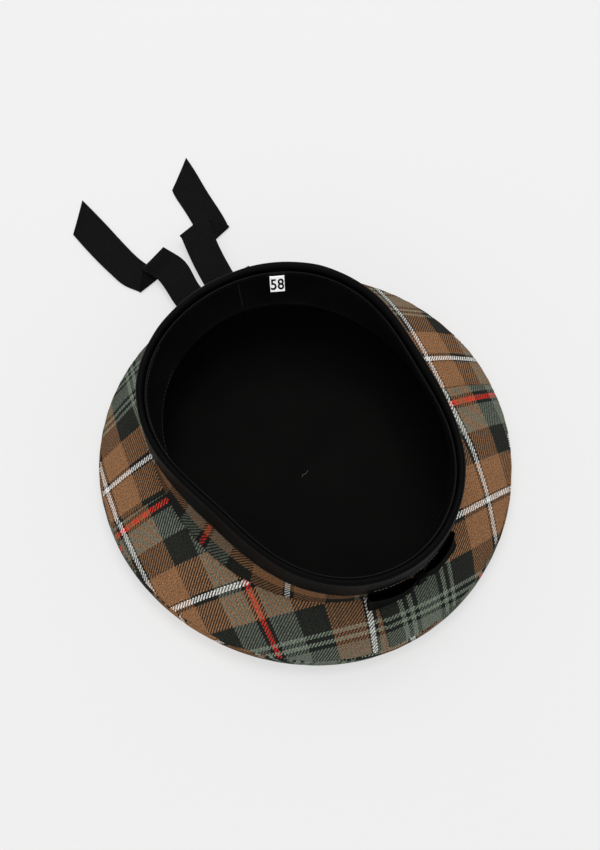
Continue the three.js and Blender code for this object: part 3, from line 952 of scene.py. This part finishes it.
def make_cockade():
    there = np.linspace(BOW_ROWS[0, 0], BOW_ROWS[-1, 0], 96)
    ends = np.linspace(0, math.pi, 9)[1:-1]
    bearing = np.concatenate([
        there, BOW_ROWS[-1, 0] + (BOW["end"] - BOW_ROWS[-1, 0]) * np.sin(ends),
        there[::-1], BOW_ROWS[0, 0] + (BOW["start"] - BOW_ROWS[0, 0]) * np.sin(ends)])
    outward = np.concatenate([
        0 * there + 1, 0.5 + 0.5 * np.cos(ends), 0 * there, 0.5 - 0.5 * np.cos(ends)])
    down = np.linspace(0.02, 0.98, ACROSS)
    at, deep = np.meshgrid(bearing, down, indexing="ij")
    out = np.repeat(outward[:, None], ACROSS, 1)
    points = bow_point(at, out, deep)
    along = np.roll(points, -1, 0) - np.roll(points, 1, 0)
    normal = unit(np.cross(along, -np.gradient(points, axis=1)))
    from_knot = np.abs(at - BOW["middle"]) * 1.7
    pleat = np.cos(TAU * 2.5 * (deep - 0.5)) * np.exp(-from_knot / 7) * (from_knot > 0)
    points = points + normal * (0.32 * pleat * out)[..., None]
    run = run_along(points[:, 6])
    loop = np.linalg.norm(points[0, 6] - points[-1, 6]) + run[-1]
    uv = np.append(run, loop)[:, None], (down * BOW["width"])[None]
    return cloth_wall("cockade_bow", ribbon_faces(points, normal), uv, BOW_RIBBON), loop


def make_knot():
    """The strap round the bow's middle."""
    clear = 1.45                # how far its line keeps off the bow's ribbon
    half_width, half_thick = 2.6, 0.45
    loop = []
    for outward, down, away_r, away_z in (
            (0, 0, -1, 1), (1, 0, 1, 1), (1, 0.5, 1, 0),
            (1, 1, 1, -1), (0, 1, -1, -1), (0, 0.5, -1, 0)):
        at = bow_point(np.array(BOW["middle"]), float(outward), float(down))
        radius = math.hypot(at[0], at[1])
        loop.append((radius + clear * away_r, at[2] + clear * away_z))
    loop = np.array(loop)
    corner = []
    for i in range(len(loop)):
        before, here, after = loop[i - 1], loop[i], loop[(i + 1) % len(loop)]
        a, b = mix(here, before, 0.3), mix(here, after, 0.3)
        for t in np.linspace(0, 1, 7):
            corner.append(mix(mix(a, here, t), mix(here, b, t), t))
    line = np.array(corner)
    tangent = unit(np.roll(line, -1, 0) - np.roll(line, 1, 0))
    normal = np.stack([tangent[:, 1], -tangent[:, 0]], -1)
    share = np.linspace(-half_width, half_width, 11)
    turn = math.radians(BOW["middle"])
    crown = 0.25 * (1 - (share / half_width) ** 2) + 0.07 * np.cos(share * 5)

    def face(side):
        away = side * half_thick + crown[None, :] * 0.8
        flat = line[:, None] + normal[:, None] * away[..., None]
        x = flat[..., 0] * math.cos(turn) - share[None] * math.sin(turn)
        y = flat[..., 0] * math.sin(turn) + share[None] * math.cos(turn)
        return np.stack([x, y, flat[..., 1]], -1)

    run = run_along(line)
    loop_length = run[-1] + np.linalg.norm(line[0] - line[-1])
    uv = np.append(run, loop_length)[:, None], share[None]
    out = 1 if np.cross(tangent[0], loop.mean(0) - line[0]) > 0 else -1
    return cloth_wall("cockade_knot_strap", (face(out), face(-out)), uv, BOW_RIBBON)


# ---------------- threads
def tube(path, radius, sides=6):
    """Points and faces of a closed round thread along a path, thinner at its ends."""
    path = np.asarray(path, float)
    along = unit(np.gradient(path, axis=0))
    first = unit(np.cross(along, [0.31, 0.22, 0.92]))       # no thread runs this way
    second = np.cross(along, first)
    count = len(path)
    girth = radius * np.sqrt(np.maximum(1 - (2 * (np.arange(count) + 0.5) / count - 1) ** 6, 0.1))
    angle = np.linspace(0, TAU, sides + 1)[:-1]
    round_it = (first[:, None] * np.cos(angle)[None, :, None]
                + second[:, None] * np.sin(angle)[None, :, None])
    points = path[:, None] + girth[:, None, None] * round_it
    faces = []
    for i in range(count - 1):
        for j in range(sides):
            here, there, k = i * sides, (i + 1) * sides, (j + 1) % sides
            faces.append((here + j, here + k, there + k, there + j))
    faces.append(tuple(range(sides))[::-1])
    faces.append(tuple((count - 1) * sides + j for j in range(sides)))
    return points.reshape(-1, 3), faces


def threads(name, paths, radius, material):
    points, faces = [], []
    for path in paths:
        at, each = tube(path, radius)
        base = sum(len(p) for p in points)
        points.append(at)
        faces += [tuple(base + i for i in face) for face in each]
    return new_piece(name, np.concatenate(points), faces, None, material)


def stitch_row(name, surface, pitch, length, radius, material, seed, bearings=(0, 360)):
    """Stitches along surface(bearing) -> (points, outward normals): each rises out of the cloth and
    goes back in."""
    rng = np.random.default_rng(seed)
    turn = np.radians(np.linspace(*bearings, 1500))
    points, normals = surface(turn)
    run = run_along(points)
    count = int(round(run[-1] / pitch))
    paths = []
    for i in range(count):
        middle = (i + 0.5) * run[-1] / count + rng.uniform(-0.12, 0.12)
        at = middle + np.linspace(-0.5, 0.5, 6) * length * rng.uniform(0.9, 1.05)
        rise = radius * np.array([-1.1, 0.35, 0.75, 0.75, 0.35, -1.1])
        paths.append(sampled(at, run, points) + sampled(at, run, normals) * rise[:, None])
    return threads(name, paths, radius, material)


def wall_row(line_at, along_share, side, thickness):
    """A row on one face of a round wall, at a share of its line."""
    def surface(turn):
        line = line_at(turn)
        normal = off(line)
        i = int(round(along_share * (line.shape[1] - 1)))
        at = line[:, i] + side * normal[:, i] * thickness / 2
        points = on_bearings(turn, at[:, None])[:, 0]
        out = normal[:, i] * side
        normals = np.stack([out[:, 0] * np.cos(turn), out[:, 0] * np.sin(turn), out[:, 1]], -1)
        return points, normals
    return surface


def make_tack():
    """The end of a thread that tacks the lining down, lying in its middle."""
    kinks = through(((-9.4, -6.9, 0.0), (-8.4, -5.9, 0.3), (-6.6, -6.3, 0.4), (-4.6, -6.1, 0.4),
                     (-3.6, -5.6, 0.1)), 6)
    height = CLOTH + GAP + LINING + np.maximum(lining_puff(kinks[:, 0] - 1, kinks[:, 1]), 0)
    path = np.stack([kinks[:, 0], kinks[:, 1], height + kinks[:, 2]], -1)
    return threads("lining_tack_thread", [path], 0.17, PALE_THREAD)


def make_join():
    """A short upright row of stitches where the sweatband's ends are joined."""
    top, foot, pitch, length = 72.0, 50.0, 2.2, 1.6
    turn = np.radians([75.0])
    heights = np.linspace(SWEATBAND_TOP - 0.5, SWEATBAND_FOOT + 0.5, 40)
    face = on_bearings(turn, sweatband_line(turn, heights))[0]
    inwards = np.array([-math.cos(turn[0]), -math.sin(turn[0]), 0])
    paths = []
    for z in np.arange(top, foot, -pitch):
        at = np.linspace(z, z - length, 6)
        rise = SWEATBAND / 2 + np.array([-0.1, 0.12, 0.18, 0.18, 0.12, -0.1])
        paths.append(sampled(at, heights[::-1], face[::-1]) + inwards * rise[:, None])
    return threads("sweatband_join_stitches", paths, 0.14, GREY_THREAD)


# ---------------- size label
TAB = dict(bearing=61, width=9, height=11.5, thickness=0.7, top=74.5, lean=24)
NUMBER = dict(width=8.3, height=8.3, down=6.1)


def label_place():
    """The matrix that hangs the label on the sweatband, and sets its middle at its top edge."""
    turn = math.radians(TAB["bearing"])
    step = math.radians(2)
    ring_now = float(rim(np.array(turn)))
    slope = float(rim(np.array(turn + step)) - rim(np.array(turn - step))) / (2 * step * ring_now)
    hang = ring_now - SWEATBAND_INSET - SWEATBAND / 2 - 2 * GAP - 0.5
    return (Matrix.Rotation(turn, 4, "Z") @ Matrix.Translation((hang, 0, TAB["top"]))
            @ Matrix.Rotation(-math.atan(slope), 4, "Z")
            @ Matrix.Rotation(math.radians(TAB["lean"]), 4, "Y"))


def bent(points):
    """The label's own bend, applied to points in its plane: x outwards, y across, z up."""
    down = -points[:, 2] / TAB["height"]
    across = points[:, 1] / TAB["width"]
    points = points.copy()
    points[:, 0] += 0.5 * down * (1 - down) * 2 + 0.5 * across ** 2
    return points


def placed(points, matrix):
    return points @ np.array(matrix.to_3x3()).T + np.array(matrix.translation)


def make_label():
    place = label_place()
    across = np.linspace(-0.5, 0.5, 15) * TAB["width"]
    down = np.linspace(-0.3, -TAB["height"], 21)
    y, z = np.meshgrid(across, down, indexing="ij")
    faces = []
    for side in (-1, 1):
        x = np.full_like(y, side * TAB["thickness"] / 2)
        flat = bent(np.stack([x, y, z], -1).reshape(-1, 3))
        faces.append(placed(flat, place).reshape(y.shape + (3,)))
    tab = cloth_wall("size_label_tab", faces, (y, z), LABEL)

    words = bpy.data.curves.new("size_number", "FONT")
    words.body = "58"
    words.size = 10
    words.extrude = 0.06
    words.offset = 0.2
    words.space_character = 1.05
    writer = add_object("size_number_text", words)
    bpy.context.view_layer.update()
    drawn = writer.evaluated_get(bpy.context.evaluated_depsgraph_get())
    mesh = bpy.data.meshes.new_from_object(drawn)
    bpy.data.objects.remove(writer)
    at = vertices_of(mesh)
    low, high = at.min(0), at.max(0)
    at[:, :2] = (at[:, :2] - (low + high)[:2] / 2) / (high - low)[:2]
    flat = np.stack([-TAB["thickness"] / 2 - 0.05 - at[:, 2], -at[:, 0] * NUMBER["width"],
                     at[:, 1] * NUMBER["height"] - NUMBER["down"]], -1)
    mesh.vertices.foreach_set("co", (placed(bent(flat), place) * MM).ravel())
    mesh.materials.clear()
    mesh.materials.append(INK)
    mesh.update()
    return tab, add_object("size_label_number", mesh)


# ---------------- camera, floor and light
CAMERA = dict(place=(-166.97, -192.50, 695.39), target=(13.63, 22.72, 0.0), lens=48.94)
SKY = 0.66
LAMPS = (                   # name, place, power in watts and width in metres
    ("key_light", (330, 400, 1500), 10.0, 0.9),
    ("fill_light", (-900, -700, 1200), 3.2, 1.2),
)
FLOOR_REACH = 6000


def point_at(thing, place, target):
    thing.location = Vector(place) * MM
    towards = Vector(target) * MM - thing.location
    thing.rotation_euler = towards.to_track_quat("-Z", "Y").to_euler()


def make_studio():
    lens = bpy.data.cameras.new("studio_camera")
    lens.lens = CAMERA["lens"]
    lens.sensor_width = 36
    lens.clip_start = 0.01
    camera = add_object("studio_camera", lens)
    point_at(camera, CAMERA["place"], CAMERA["target"])
    bpy.context.scene.camera = camera

    corners = [(x * FLOOR_REACH, y * FLOOR_REACH, 0)
               for x, y in ((-1, -1), (1, -1), (1, 1), (-1, 1))]
    floor = new_piece("studio_floor", corners, [(0, 1, 2, 3)], None, floor_finish(), smooth=False)

    world = bpy.data.worlds.new("studio_world")
    world.use_nodes = True
    sky = world.node_tree.nodes["Background"].inputs
    sky[0].default_value = (1, 1, 1, 1)
    sky[1].default_value = SKY
    bpy.context.scene.world = world
    for name, place, power, size in LAMPS:
        lamp = bpy.data.lights.new(name, "AREA")
        lamp.energy = power
        lamp.size = size
        point_at(add_object(name, lamp), place, (0, 0, 0))
    bpy.context.scene.view_settings.view_transform = "Standard"


# ---------------- making the pieces, hanging them on the root and hiding the solids
def dress(piece, slot, *nodes):
    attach(piece, "root")
    if nodes:
        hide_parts(*nodes)
    return piece


def side_area(name):
    """Flat area of a side piece, in square millimetres."""
    middle = QUARTERS[name][0]
    bearing = np.radians(np.linspace(middle - HALF_QUARTER, middle + HALF_QUARTER, 91))
    line = side_curve(bearing, 41)
    steps = np.diff(arcs(line), axis=1)
    radius = (line[:, 1:, 0] + line[:, :-1, 0]) / 2
    return float((steps * radius).sum(1).mean() * math.pi / 2)


make_studio()

crown = dress(make_crown_top(), "tartan", "crown_top")
for seed, name in enumerate(QUARTERS):
    side = dress(make_side(name, 11 + seed), "tartan", name)
    side_area(name) * MM * MM
band = dress(make_band(), "tartan", "band")
binding = dress(make_binding(), "binding_cloth", "rim_binding")
tape_foot = wall_row(binding_line, 0.045, 1, BINDING + 0.1)
binding_threads = [
    stitch_row("binding_stitches", tape_foot, 3.0, 2.0, 0.17, DARK_THREAD, 71, (-85, 250)),
    # painted highlight: the stitches over the bow are in pale thread, standing in for their glints
    stitch_row("binding_front_stitches", tape_foot, 2.2, 1.3, 0.17, PALE_THREAD, 74,
               (250.5, 274.5)),
]

sweatband = dress(make_sweatband(), "sweatband_skin", "sweatband")
tab, number = make_label()
dress(tab, "label_tape", "size_label")
dress(number, "label_tape")
skin_heights = np.linspace(SWEATBAND_FOOT, SWEATBAND_TOP, 31)
band_threads = [make_join()]
for end, share, lift, pitch, length in (
        ("top", 0.93, 0.0, 2.6, 1.8), ("foot", 0.065, 0.2, 2.8, 1.4)):
    face = wall_row(lambda turn: sweatband_line(turn, skin_heights), share, -1, SWEATBAND + lift)
    # painted highlight: the stitches on the left side are in a lighter grey thread, where the
    # thread catches the light
    for side, thread, bearings in (
            ("left", GREY_THREAD, (112, 188)), ("right", DARK_THREAD, (188.5, 471.5))):
        band_threads.append(stitch_row(f"sweatband_{end}_stitches_{side}", face, pitch, length,
                                       0.15, thread, 72, bearings))

lining = dress(make_lining(), "lining_satin", "lining")
tack = make_tack()
for row in binding_threads + band_threads + [tack]:
    dress(row, "binding_cloth")

bow, bow_length = make_cockade()
knot = make_knot()
dress(bow, "ribbon", "cockade")
dress(knot, "ribbon", "cockade_knot")
for seed, name in enumerate(TAILS):
    tail, length = make_tail(name, 61 + seed)
    dress(tail, "ribbon", name)
